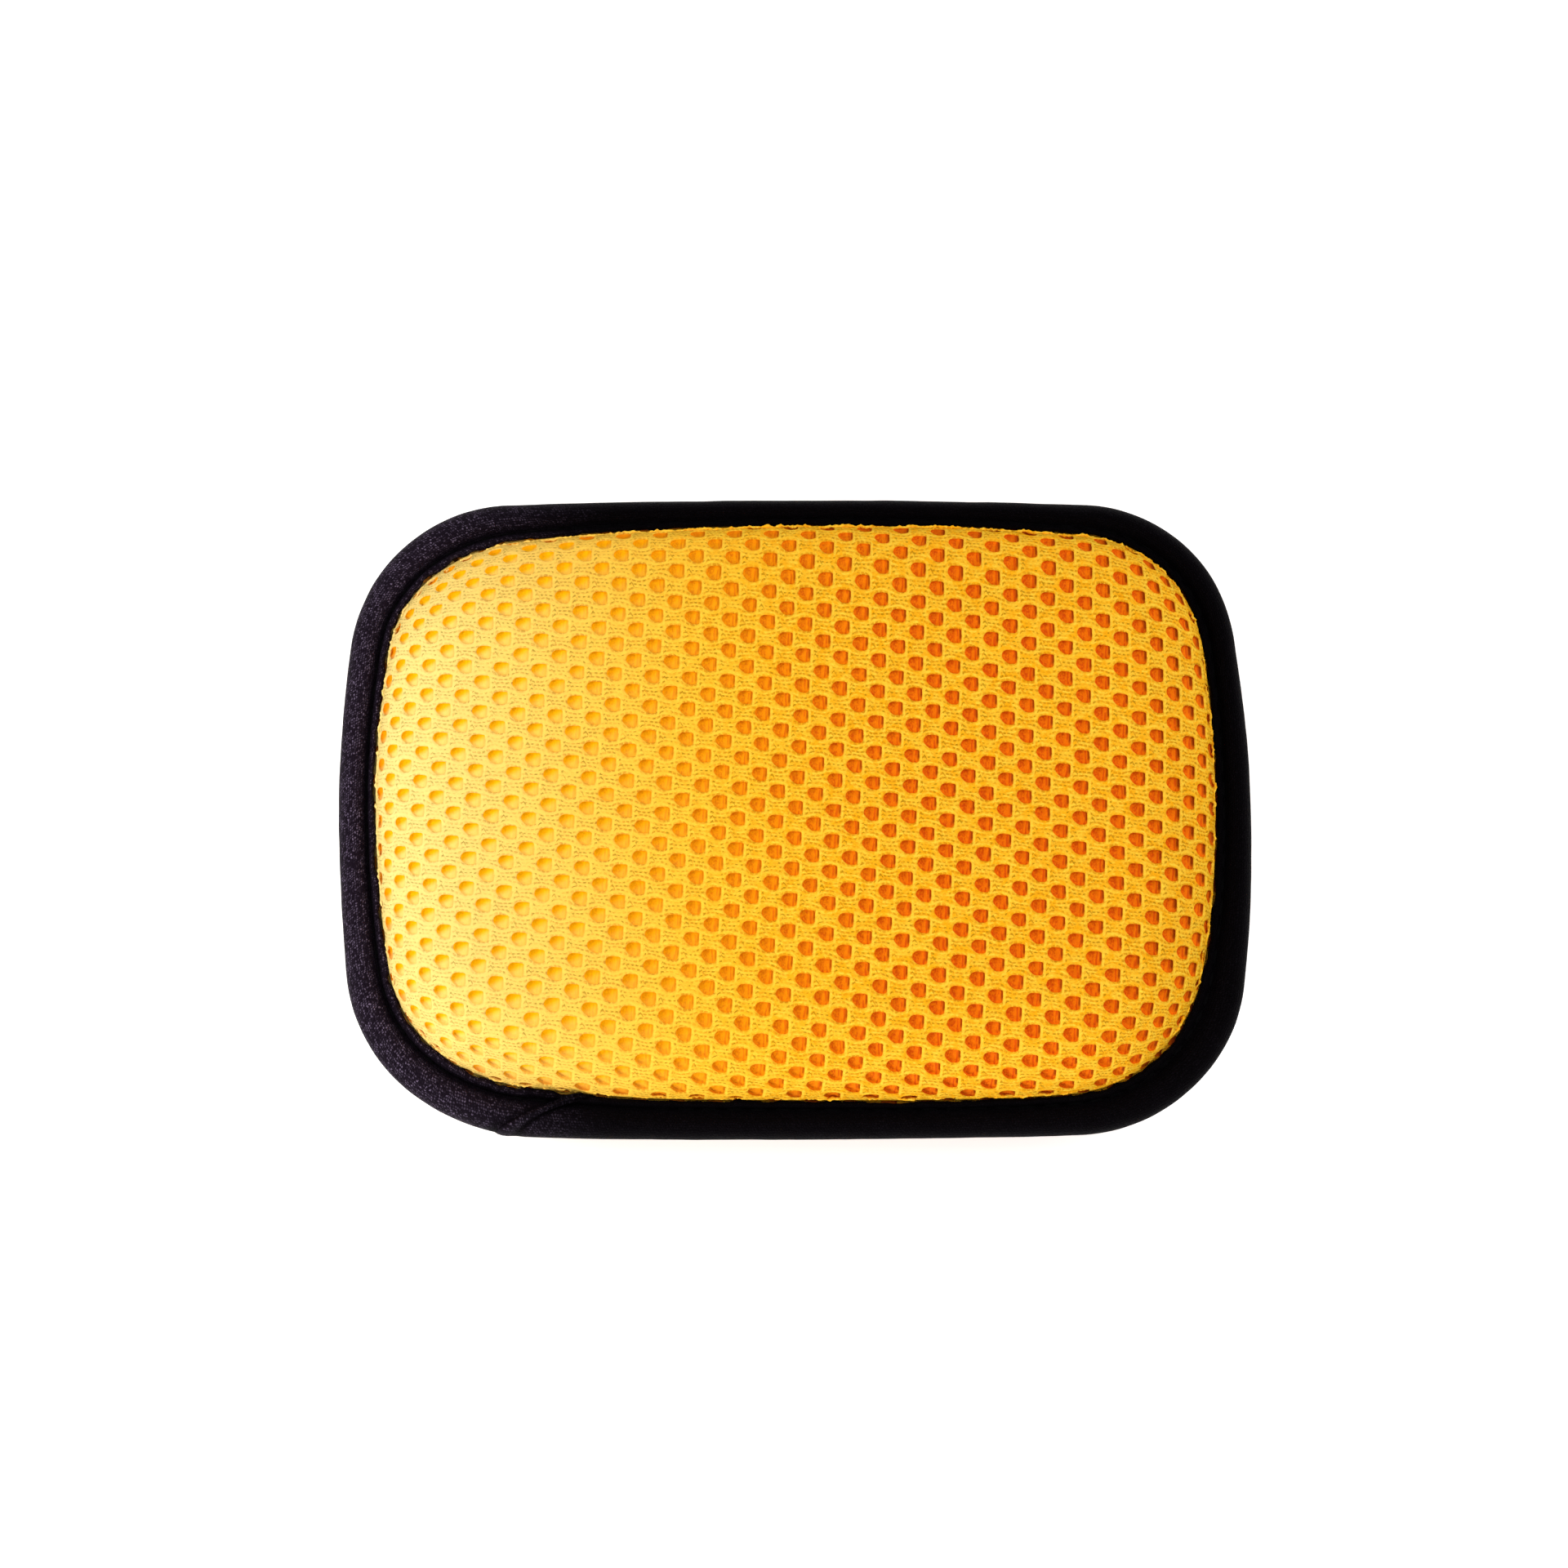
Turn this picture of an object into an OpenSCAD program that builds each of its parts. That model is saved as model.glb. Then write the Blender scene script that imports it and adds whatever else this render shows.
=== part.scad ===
// Cleaning sponge: a foam core between two domed covers of open mesh,
// whose edges are pressed together and bound with a folded tape.
// It lies on its back, with the seam level at mid height.

/* [Outline] */
// Length over the bound edge
length = 150; // [120:1:200]
// Width over the bound edge
width = 105; // [85:1:140]
// How far each long side bows out over the whole length
side_bow = 1.9; // [0.6:0.1:5]
// How far each end bows out over the whole width
end_bow = 6.7; // [1:0.1:12]
// Radius of the near left corner
near_left_r = 30.5; // [26:0.5:34]
// Radius of the near right corner
near_right_r = 28; // [26:0.5:34]
// Radius of the far right corner
far_right_r = 26.5; // [26:0.5:34]
// Radius of the far left corner
far_left_r = 27; // [26:0.5:34]

/* [Height] */
// Height of the front cover above the seam
front_h = 14.5; // [11:0.5:24]
// Depth of the back cover below the seam
back_h = 13.5; // [11:0.5:24]
// Part of the front height that is a slow crown inside the shoulders
front_crown = 1.5; // [0.4:0.1:4]
// Width of the rounded shoulder inside the binding
shoulder_w = 16; // [10:0.5:18]

/* [Mesh covers] */
// Thickness of the mesh over the foam
mesh_t = 3; // [2:0.1:4]
// Thickness of one mesh where it is pressed in the seam
seam_t = 1.1; // [0.8:0.1:1.6]
// Clearance between the two meshes in the seam
seam_gap = 0.1; // [0.05:0.05:0.3]
// How far the mesh leans in at its foot
foot_w = 2; // [1.5:0.1:4]
// Pitch of the gaps along a row
pitch_l = 15.2; // [14:0.1:24]
// Pitch of every second row
pitch_w = 12.4; // [11:0.1:20]
// Turn of the rows against the long side
mesh_turn = -4.2; // [-10:0.1:10]
// Length of a gap
gap_l = 6.4; // [4:0.1:7]
// Width of a gap
gap_w = 5.6; // [3:0.1:6]
// Width of the knitted ridge between the gaps
ridge_w = 1.5; // [0.8:0.1:2]
// Height of the knitted ridge
ridge_h = 0.6; // [0.3:0.1:1.2]

/* [Foam core] */
// Clearance between the foam and the mesh
foam_gap = 0.3; // [0.1:0.05:0.8]
// Thickness that the foam keeps at its edge
foam_edge = 1.6; // [0.8:0.1:3]

/* [Binding tape] */
// Width of the tape on each face
tape_w = 5.8; // [5:0.1:8]
// Thickness of the tape
tape_t = 1; // [0.6:0.1:1.4]
// Half height of the rounded outer band
band_h = 3.4; // [3:0.1:4.5]
// Distance from the stitch line to the tape's inner edge
lip_w = 1.8; // [1.4:0.1:2.4]
// Width of the stitched groove
groove_w = 0.8; // [0.6:0.1:1]
// How far the lip stands above the stitch line
lip_h = 0.7; // [0.3:0.1:1.2]
// Clearance between the tape and the covers
tape_gap = 0.15; // [0.05:0.05:0.3]
// Length of the over end, from its root to its tip on the rim
lap_l = 30; // [20:1:45]
// How far the over end is cut on the slant
lap_slant = 13; // [4:1:16]
// Distance of its tip past the start of the near left corner
lap_past = 5; // [0:0.5:12]
// How far the over end stands proud
lap_t = 0.9; // [0.5:0.1:1.4]
// Width of the turned hem on the over end
hem_w = 4; // [2:0.5:6]
// How far the hem stands above the over end
hem_h = 0.6; // [0.2:0.1:1]

/* [Seam thread] */
// Thickness of the thread
thread_d = 0.6; // [0.4:0.05:0.8]
// Distance from stitch to stitch
stitch_pitch = 4; // [3:0.1:6]
// Length of thread that shows in each stitch
stitch_l = 2.8; // [2:0.1:3.5]
// Clearance between the thread and the tape
thread_gap = 0.15; // [0.05:0.05:0.3]

/* [Hidden] */

// Segments along each corner, each long side and each end
corner_n = 7;
side_n = 4;
end_n = 4;
// Segments over a shoulder, outside and inside
outer_n = 5;
inner_n = 3;

seam_z = back_h;
side_r = (length * length / 4 + side_bow * side_bow) / (2 * side_bow);
end_r = (width * width / 4 + end_bow * end_bow) / (2 * end_bow);
near_c = [0, side_r - width / 2];
far_c = -near_c;
left_c = [end_r - length / 2, 0];
right_c = -left_c;

function polar(c, r, a) = c + r * [cos(a), sin(a)];
function bearing(from, to) = atan2(to[1] - from[1], to[0] - from[0]);

// Centre of the corner arc that is tangent to a long side and an end
function corner(side_c, end_c, r, sx) =
    let (ra = side_r - r,
         rb = end_r - r,
         gap = norm(end_c - side_c),
         along = (ra * ra - rb * rb + gap * gap) / (2 * gap),
         up = sqrt(ra * ra - along * along),
         u = (end_c - side_c) / gap,
         foot = side_c + along * u,
         p = foot + up * [-u[1], u[0]],
         q = foot - up * [-u[1], u[0]])
    sx * p[0] > sx * q[0] ? p : q;

near_left_c = corner(near_c, left_c, near_left_r, -1);
near_right_c = corner(near_c, right_c, near_right_r, 1);
far_right_c = corner(far_c, right_c, far_right_r, 1);
far_left_c = corner(far_c, left_c, far_left_r, -1);

// The outline, anticlockwise: centre, radius, first and last angle, segments
start_a = bearing(near_c, near_left_c);
arcs = [
    [near_c, side_r, start_a, bearing(near_c, near_right_c), side_n],
    [near_right_c, near_right_r, bearing(near_c, near_right_c), bearing(right_c, near_right_c), corner_n],
    [right_c, end_r, bearing(right_c, near_right_c), bearing(right_c, far_right_c), end_n],
    [far_right_c, far_right_r, bearing(right_c, far_right_c), bearing(far_c, far_right_c), corner_n],
    [far_c, side_r, bearing(far_c, far_right_c), bearing(far_c, far_left_c), side_n],
    [far_left_c, far_left_r, bearing(far_c, far_left_c), bearing(left_c, far_left_c), corner_n],
    [left_c, end_r, bearing(left_c, far_left_c), bearing(left_c, near_left_c) + 360, end_n],
    [near_left_c, near_left_r, bearing(left_c, near_left_c) + 360, start_a + 360, corner_n]
];

// Stations round the outline: centre, radius and angle
stations = [
    for (arc = arcs)
        for (k = [0:arc[4] - 1])
            [arc[0], arc[1], arc[2] + (arc[3] - arc[2]) * k / arc[4]]
];
station_n = len(stations);

// Point at a station, in by some depth and up by some height
function place(st, in, z) = concat(polar(st[0], st[1] - in, st[2]), [z]);

function span(arc) = (arc[3] - arc[2]) * PI / 180 * arc[1];
function total(list, k) = k < 0 ? 0 : list[k] + total(list, k - 1);
spans = [for (arc = arcs) span(arc)];
perimeter = total(spans, len(spans) - 1);

// Station at a distance along the outline from the start of the near side
function at(s, k = 0) =
    s < 0 ? at(s + perimeter)
    : s <= spans[k] || k == len(arcs) - 1
        ? [arcs[k][0], arcs[k][1], arcs[k][2] + s / arcs[k][1] * 180 / PI]
        : at(s - spans[k], k + 1);

// Depth of a point inside the outline
function turned(a, low) = a < low ? turned(a + 360, low) : a;
function corner_depth(p, arc) =
    turned(bearing(arc[0], p), arc[2]) <= arc[3] ? arc[1] - norm(p - arc[0]) : length;
function depth(p) =
    min([for (k = [0:len(arcs) - 1])
        k % 2 == 0 ? arcs[k][1] - norm(p - arcs[k][0]) : corner_depth(p, arcs[k])]);

// Sizes that fit the pieces to each other, measured in from the outline
// and up or down from the seam
edge_in = tape_t + tape_gap;
foot_in = tape_w + tape_gap;
crest_in = foot_in + shoulder_w;
groove_in = tape_w - lip_w;
slot_z = seam_gap / 2 + seam_t + tape_gap;
groove_z = slot_z + tape_t;

// Quarter of an ellipse from its foot to its level top
function shoulder(foot, base, top, n) =
    [for (k = [0:n])
        let (a = 90 * k / n)
        [foot + (crest_in - foot) * (1 - cos(a)), 1, base + (top - base) * sin(a)]];

// Rings of the crown inside the shoulder, from the shoulder to the middle
function crown_z(k) = (1 - k * k) * (1 - k * k);
function crown_rings(top, crown) = [for (k = [0.7, 0.35]) [crest_in, k, top + crown * crown_z(k)]];

function reversed(list) = [for (k = [len(list) - 1:-1:0]) list[k]];

// Closed shell or solid swept round the outline. Each ring is its depth in
// from the outline, its scale about the middle and its height, and the two
// middle points close it.
module swept(rings, first_z, last_z) {
    m = len(rings);
    points = concat(
        [for (ring = rings) for (st = stations)
            [each ring[1] * polar(st[0], st[1] - ring[0], st[2]), ring[2]]],
        [[0, 0, first_z], [0, 0, last_z]]
    );
    function next(k) = (k + 1) % station_n;
    faces = concat(
        [for (k = [0:station_n - 1]) [m * station_n, next(k), k]],
        [for (j = [0:m - 2]) for (k = [0:station_n - 1]) each [
            [j * station_n + k, j * station_n + next(k), (j + 1) * station_n + next(k)],
            [j * station_n + k, (j + 1) * station_n + next(k), (j + 1) * station_n + k]
        ]],
        [for (k = [0:station_n - 1])
            [m * station_n + 1, (m - 1) * station_n + k, (m - 1) * station_n + next(k)]]
    );
    polyhedron(points, faces);
}

// Outline set in by a depth
module outline(in) {
    polygon([for (st = stations) polar(st[0], st[1] - in, st[2])]);
}

// Rows of the mesh: gaps stand at the corners and in the middle of each cell
row_u = [pitch_l * cos(mesh_turn), pitch_l * sin(mesh_turn)];
row_v = [-pitch_w * sin(mesh_turn), pitch_w * cos(mesh_turn)];
reach = ceil((length + width) / (pitch_l + pitch_w)) + 2;
gap_margin = foot_in + gap_l / 2 + ridge_w / 2;
gaps = [
    for (i = [-reach:reach])
        for (j = [-reach:reach])
            for (half = [0, 0.5])
                let (p = (i + half) * row_u + (j + half) * row_v)
                if (depth(p) > gap_margin) p
];

// One gap of the mesh, a rounded eight sided opening
module gap_shape() {
    corner_k = 1 / cos(22.5);
    polygon([for (a = [22.5:45:337.5])
        corner_k * (cos(a) * gap_l / 2 * row_u / pitch_l + sin(a) * gap_w / 2 * row_v / pitch_w)]);
}

// Knitted ridges that cross between the gaps on both slants
module ridge_lines() {
    slant = atan2(pitch_w, pitch_l);
    step = pitch_l * pitch_w / norm([pitch_l, pitch_w]);
    for (side = [-1, 1])
        rotate(mesh_turn + side * slant)
            for (k = [-reach:reach])
                translate([0, (k + 0.5) * step])
                    square([2 * length, ridge_w], center = true);
}

// One mesh cover, standing on the seam
module cover(h, crown) {
    rim_z = h - crown - ridge_h;
    skin = concat(
        reversed(crown_rings(rim_z, crown)),
        reversed(shoulder(foot_in, seam_gap / 2 + seam_t, rim_z, outer_n)),
        [[edge_in, 1, seam_gap / 2 + seam_t], [edge_in, 1, seam_gap / 2]],
        shoulder(foot_in + foot_w, seam_gap / 2, rim_z - mesh_t, inner_n),
        crown_rings(rim_z - mesh_t, crown)
    );
    ribs = concat(
        reversed(crown_rings(rim_z + ridge_h, crown)),
        reversed(shoulder(foot_in, seam_gap / 2 + seam_t, rim_z + ridge_h, outer_n)),
        shoulder(foot_in + foot_w / 2, seam_gap / 2 + seam_t, rim_z - mesh_t / 2, inner_n),
        crown_rings(rim_z - mesh_t / 2, crown)
    );
    difference() {
        union() {
            swept(skin, rim_z + crown, rim_z - mesh_t + crown);
            intersection() {
                swept(ribs, rim_z + ridge_h + crown, rim_z - mesh_t / 2 + crown);
                linear_extrude(2 * h)
                    intersection() {
                        outline(foot_in + ridge_w);
                        ridge_lines();
                    }
            }
        }
        translate([0, 0, -h])
            linear_extrude(3 * h)
                for (p = gaps)
                    translate(p) gap_shape();
    }
}

module front_mesh_cover() {
    color("gold")
        translate([0, 0, seam_z])
            cover(front_h, front_crown);
}

module back_mesh_cover() {
    color("gold")
        translate([0, 0, seam_z])
            mirror([0, 0, 1])
                cover(back_h, 0);
}

module foam_core() {
    foot = foot_in + foot_w + foam_gap + foam_edge / 2;
    front_z = front_h - front_crown - ridge_h - mesh_t - foam_gap;
    back_z = ridge_h + mesh_t + foam_gap - back_h;
    color("orange")
        translate([0, 0, seam_z])
            swept(
                concat(
                    reversed(crown_rings(front_z, front_crown)),
                    reversed(shoulder(foot, foam_edge / 2, front_z, inner_n)),
                    shoulder(foot, -foam_edge / 2, back_z, inner_n)
                ),
                front_z + front_crown,
                back_z
            );
}

// Top half of the tape's outside, from the rim over the band and the lip
groove_a = 180 - asin(groove_z / band_h);
band_r = (groove_in - groove_w / 2) / (1 - cos(groove_a));
band_pts = [for (k = [1:5])
    let (a = groove_a * k / 5)
    [band_r * (1 - cos(a)), band_h * sin(a)]];
lip_r = (lip_w - groove_w / 2) / 2;
lip_pts = [for (a = [0, 45, 90, 135])
    [tape_w - lip_r * (1 + cos(a)), groove_z + lip_h * sin(a)]];

function flipped(list) = [for (p = list) [p[0], -p[1]]];

// Folded tape: the outside over both faces, then the slot that takes the mesh
tape_half = concat(band_pts, lip_pts, [[tape_w, groove_z], [tape_w, slot_z], [tape_t, slot_z]]);
tape_section = concat([[0, 0]], tape_half, reversed(flipped(tape_half)));

module tape_ring() {
    m = len(tape_section);
    points = [for (st = stations) for (p = tape_section) place(st, p[0], p[1])];
    faces = [
        for (k = [0:station_n - 1])
            for (j = [0:m - 1])
                let (a = k * m, b = (k + 1) % station_n * m, i = (j + 1) % m)
                each [[a + j, b + i, b + j], [a + j, a + i, b + i]]
    ];
    polyhedron(points, faces);
}

// Height of the over end above the tape, by distance from its tip
lap_rise = [
    [0, lap_t / 2],
    [hem_w / 6, lap_t + hem_h / 2],
    [hem_w / 2, lap_t + hem_h],
    [hem_w, lap_t + hem_h / 4],
    [hem_w * 1.4, lap_t * 0.8],
    [lap_l * 0.6, lap_t / 2],
    [lap_l, -lap_t / 3]
];

// Path that the over end follows round the tape
lap_half = concat(band_pts, [for (k = [0:2]) lip_pts[k]]);
lap_path = concat(reversed(flipped(lap_half)), [[0, 0]], lap_half);

// Direction out of the tape, away from the middle of the stitch line
function lap_out(p) = (p - [groove_in, 0]) / norm(p - [groove_in, 0]);

// The over end of the tape, cut on the slant, lies on the start of the tape
module over_end() {
    n = len(lap_path);
    m = len(lap_rise);
    sink = tape_t / 2;
    function spot(k, e, h) =
        let (in = lap_path[k][0] / tape_w,
             tip = lap_slant * in - lap_past,
             st = at(tip + e * (1 - lap_slant * in / lap_l)),
             p = lap_path[k] + h * lap_out(lap_path[k]))
        place(st, p[0], p[1]);
    points = [
        for (rise = lap_rise) each concat(
            [for (k = [0:n - 1]) spot(k, rise[0], rise[1])],
            [for (k = [n - 1:-1:0]) spot(k, rise[0], -sink)]
        )
    ];
    w = 2 * n;
    faces = concat(
        [for (j = [0:m - 2]) for (k = [0:w - 1])
            let (a = j * w, b = a + w, i = (k + 1) % w)
            each [[a + k, a + i, b + i], [a + k, b + i, b + k]]],
        [for (k = [0:n - 2]) each [
            [k, w - 1 - k, w - 2 - k],
            [k, w - 2 - k, k + 1]
        ]],
        [for (k = [0:n - 2])
            let (a = (m - 1) * w)
            each [
                [a + k, a + w - 2 - k, a + w - 1 - k],
                [a + k, a + k + 1, a + w - 2 - k]
            ]]
    );
    polyhedron(points, faces);
}

module binding_tape() {
    color("#1c1a20")
        translate([0, 0, seam_z]) {
            tape_ring();
            over_end();
        }
}

stitch_n = floor(perimeter / stitch_pitch);
thread_tip = lap_slant * groove_in / tape_w - lap_past;

// Height of the over end at a distance along the stitch line
function lift_at(e) = e < 0 || e > lap_l ? 0 : max(0, lookup(e, lap_rise));
function lift(s) =
    let (d = s - thread_tip, e = d > perimeter / 2 ? d - perimeter : d)
    max([for (k = [-0.5, 0, 0.5]) lift_at(e + k * stitch_l)]);

module seam_thread() {
    color("black")
        translate([0, 0, seam_z])
            for (k = [0:stitch_n - 1], side = [-1, 1]) {
                s = perimeter * k / stitch_n;
                z = groove_z + lift(s) + thread_gap + thread_d / 2;
                translate(place(at(s), groove_in, side * z))
                    rotate([90, 0, at(s)[2]])
                        cylinder(h = stitch_l, d = thread_d, center = true, $fn = 16);
            }
}

front_mesh_cover();
back_mesh_cover();
foam_core();
binding_tape();
seam_thread();
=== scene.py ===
import math

import bmesh
import bpy
import numpy as np
from mathutils import Matrix, Vector, noise
from mathutils.bvhtree import BVHTree


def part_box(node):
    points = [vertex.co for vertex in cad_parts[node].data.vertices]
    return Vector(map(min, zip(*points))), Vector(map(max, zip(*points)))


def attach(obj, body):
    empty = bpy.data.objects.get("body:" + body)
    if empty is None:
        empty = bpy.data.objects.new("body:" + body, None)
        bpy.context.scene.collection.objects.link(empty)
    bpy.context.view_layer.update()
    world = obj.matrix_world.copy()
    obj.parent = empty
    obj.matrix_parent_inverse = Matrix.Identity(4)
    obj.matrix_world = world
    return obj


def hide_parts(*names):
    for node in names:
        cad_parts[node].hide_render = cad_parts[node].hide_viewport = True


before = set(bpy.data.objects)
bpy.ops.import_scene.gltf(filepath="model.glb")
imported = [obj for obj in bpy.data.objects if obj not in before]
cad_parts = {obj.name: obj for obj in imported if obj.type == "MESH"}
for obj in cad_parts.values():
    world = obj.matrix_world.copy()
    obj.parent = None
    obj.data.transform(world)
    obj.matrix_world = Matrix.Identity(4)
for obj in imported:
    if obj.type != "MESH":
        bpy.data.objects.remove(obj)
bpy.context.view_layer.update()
mm = 0.001
scene = bpy.context.scene
scene.view_settings.view_transform = "Standard"

# The sponge's outline, in millimetres, from the frame and the bows and corners of the real one
coverLow, coverHigh = [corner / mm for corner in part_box("front_mesh_cover")]
backLow, backHigh = [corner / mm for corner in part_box("back_mesh_cover")]
outline = {
    "meshInset": 1.15,      # from the bound edge to the edge of the mesh in the seam
    "sideBow": 1.9,
    "endBow": 6.7,
    "nearLeft": 30.5,
    "nearRight": 28.0,
    "farRight": 26.5,
    "farLeft": 27.0,
}
halfLength = (coverHigh.x - coverLow.x) / 2 + outline["meshInset"]
halfWidth = (coverHigh.y - coverLow.y) / 2 + outline["meshInset"]
seamZ = (coverLow.z + backHigh.z) / 2


def bowRadius(half, bow):
    return (half * half + bow * bow) / (2 * bow)


def cornerCentre(sideCentre, sideRadius, endCentre, endRadius, radius, sign):
    # centre of the arc that runs into a long side and an end with no kink
    reach, other = sideRadius - radius, endRadius - radius
    line = endCentre - sideCentre
    gap = line.length
    along = (reach ** 2 - other ** 2 + gap ** 2) / (2 * gap)
    up = math.sqrt(reach ** 2 - along ** 2)
    unit = line / gap
    foot, across = sideCentre + unit * along, Vector((-unit.y, unit.x)) * up
    return foot + across if sign * (foot + across).x > sign * (foot - across).x else foot - across


def bearing(start, end):
    return math.atan2(end.y - start.y, end.x - start.x)


def outlineArcs():
    sideRadius = bowRadius(halfLength, outline["sideBow"])
    endRadius = bowRadius(halfWidth, outline["endBow"])
    near, far = Vector((0, sideRadius - halfWidth)), Vector((0, halfWidth - sideRadius))
    left, right = Vector((endRadius - halfLength, 0)), Vector((halfLength - endRadius, 0))
    ring = [(near, right, "nearRight", 1), (far, right, "farRight", 1),
            (far, left, "farLeft", -1), (near, left, "nearLeft", -1)]
    spot = {name: cornerCentre(side, sideRadius, end, endRadius, outline[name], sign)
            for side, end, name, sign in ring}
    bounds = [
        (near, sideRadius, near, "nearLeft", near, "nearRight"),
        (spot["nearRight"], outline["nearRight"], near, "nearRight", right, "nearRight"),
        (right, endRadius, right, "nearRight", right, "farRight"),
        (spot["farRight"], outline["farRight"], right, "farRight", far, "farRight"),
        (far, sideRadius, far, "farRight", far, "farLeft"),
        (spot["farLeft"], outline["farLeft"], far, "farLeft", left, "farLeft"),
        (left, endRadius, left, "farLeft", left, "nearLeft"),
        (spot["nearLeft"], outline["nearLeft"], left, "nearLeft", near, "nearLeft"),
    ]
    arcs, distance = [], 0.0
    for centre, radius, fromCentre, fromName, toCentre, toName in bounds:
        first = bearing(fromCentre, spot[fromName])
        span = (bearing(toCentre, spot[toName]) - first) % (2 * math.pi)
        arcs.append({"centre": centre, "radius": radius, "first": first, "span": span, "start": distance})
        distance += span * radius
    return arcs, distance


arcs, perimeter = outlineArcs()

# How the binding sits round the outline: distance from the near left, and a share or millimetres
binding = {
    "showing": ((5, 1.24), (14, 1.06), (82, 1.02), (98, 1.20), (118, 1.29), (138, 1.03), (165, 1.0), (195, 1.03),
                (215, 0.90), (243, 0.70), (275, 0.71), (308, 0.89), (328, 1.21), (350, 1.07), (375, 0.98),
                (395, 1.05), (415, 1.14), (445, 1.37)),
    "swell": ((10, 0.3), (50, 0.0), (105, 0.1), (124, 0.55), (145, 0.1), (170, -0.4), (188, -0.9), (205, 0.0),
              (230, 0.15), (400, 0.0), (424, 0.7), (440, 0.0)),
}


def roundOutline(pairs, distance):
    # a slow change along the outline, with its corners rounded off
    places, values = zip(*pairs)
    steps = np.linspace(-7, 7, 9)
    return sum(np.interp(distance + step, places, values, period=perimeter) for step in steps) / len(steps)


outlineSteps = np.arange(0, perimeter, 0.5)
showingShare = roundOutline(binding["showing"], outlineSteps)
swellOut = roundOutline(binding["swell"], outlineSteps)


def atDistance(values, distance):
    return np.interp(distance, outlineSteps, values, period=perimeter)


def stationAt(distance):
    # point of the outline and the direction out of it, at a distance along it
    distance = distance % perimeter
    arc = [a for a in arcs if a["start"] <= distance][-1]
    angle = arc["first"] + (distance - arc["start"]) / arc["radius"]
    out = Vector((math.cos(angle), math.sin(angle)))
    return arc["centre"] + out * arc["radius"], out


def nearestOutline(points):
    # for each point: how far it is inside the outline, the direction out and the distance along
    depth = np.full(len(points), 1e9)
    out = np.zeros((len(points), 2))
    along = np.zeros(len(points))
    for order, arc in enumerate(arcs):
        line = points - np.array(arc["centre"])
        length = np.maximum(np.linalg.norm(line, axis=1), 1e-9)
        turn = (np.arctan2(line[:, 1], line[:, 0]) - arc["first"]) % (2 * math.pi)
        inside = arc["radius"] - length
        chosen = (turn <= arc["span"]) & (inside < depth) if order % 2 else inside < depth
        depth[chosen] = inside[chosen]
        out[chosen] = (line / length[:, None])[chosen]
        along[chosen] = (arc["start"] + turn * arc["radius"])[chosen]
    return depth, out, along


# Meshes are worked on in millimetres and handed over in metres
def finishPiece(name, bm, material, smooth=True):
    bmesh.ops.scale(bm, vec=(mm, mm, mm), verts=bm.verts)
    data = bpy.data.meshes.new(name)
    bm.to_mesh(data)
    bm.free()
    data.shade_smooth() if smooth else data.shade_flat()
    piece = bpy.data.objects.new(name, data)
    scene.collection.objects.link(piece)
    for one in material if isinstance(material, tuple) else (material,):
        data.materials.append(one)
    return piece


def meshCoordinates(data):
    flat = np.zeros(len(data.vertices) * 3)
    data.vertices.foreach_get("co", flat)
    return flat.reshape(-1, 3)


def calc(tree, operation, *values):
    # one Math node; a value is a number or another node's output
    node = tree.nodes.new("ShaderNodeMath")
    node.operation = operation
    for slot, value in enumerate(values):
        if isinstance(value, bpy.types.NodeSocket):
            tree.links.new(value, node.inputs[slot])
        else:
            node.inputs[slot].default_value = value
    return node.outputs[0]


def ramp(tree, value, low, high):
    # 0 below low, 1 above high, smooth between
    node = tree.nodes.new("ShaderNodeMapRange")
    node.interpolation_type = "SMOOTHSTEP"
    tree.links.new(value, node.inputs["Value"])
    node.inputs["From Min"].default_value = low
    node.inputs["From Max"].default_value = high
    return node.outputs["Result"]


def blendColour(tree, share, first, second):
    node = tree.nodes.new("ShaderNodeMix")
    node.data_type = "RGBA"
    tree.links.new(share, node.inputs["Factor"])
    for slot, colour in ((6, first), (7, second)):
        if isinstance(colour, bpy.types.NodeSocket):
            tree.links.new(colour, node.inputs[slot])
        else:
            node.inputs[slot].default_value = (*colour, 1.0)
    return node.outputs[2]


def grain(tree, vector, scale, detail=2.0, roughness=0.5):
    node = tree.nodes.new("ShaderNodeTexNoise")
    tree.links.new(vector, node.inputs["Vector"])
    node.inputs["Scale"].default_value = scale
    node.inputs["Detail"].default_value = detail
    node.inputs["Roughness"].default_value = roughness
    return node.outputs["Fac"]


def pieceAttribute(tree, name):
    source = tree.nodes.new("ShaderNodeAttribute")
    source.attribute_name = name
    split = tree.nodes.new("ShaderNodeSeparateXYZ")
    tree.links.new(source.outputs["Vector"], split.inputs[0])
    return source.outputs["Vector"], split.outputs[0], split.outputs[1], split.outputs[2]


def combine(tree, *values):
    node = tree.nodes.new("ShaderNodeCombineXYZ")
    for slot, value in enumerate(values):
        if isinstance(value, bpy.types.NodeSocket):
            tree.links.new(value, node.inputs[slot])
        else:
            node.inputs[slot].default_value = value
    return node.outputs[0]


def addBump(tree, shader, height, distance, strength=1.0):
    node = tree.nodes.new("ShaderNodeBump")
    node.inputs["Strength"].default_value = strength
    node.inputs["Distance"].default_value = distance * mm
    tree.links.new(height, node.inputs["Height"])
    tree.links.new(node.outputs[0], shader.inputs["Normal"])


def paintedLightAtLeft(tree, start, end):
    # 0 to 1 toward the left end: painted light, the cloth drawn a little paler where the left lamp's light falls
    #                             strongest
    place = tree.nodes.new("ShaderNodeTexCoord")
    split = tree.nodes.new("ShaderNodeSeparateXYZ")
    tree.links.new(place.outputs["Object"], split.inputs[0])
    return ramp(tree, calc(tree, "MULTIPLY", split.outputs[0], -1.0), -start, -end)


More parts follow.
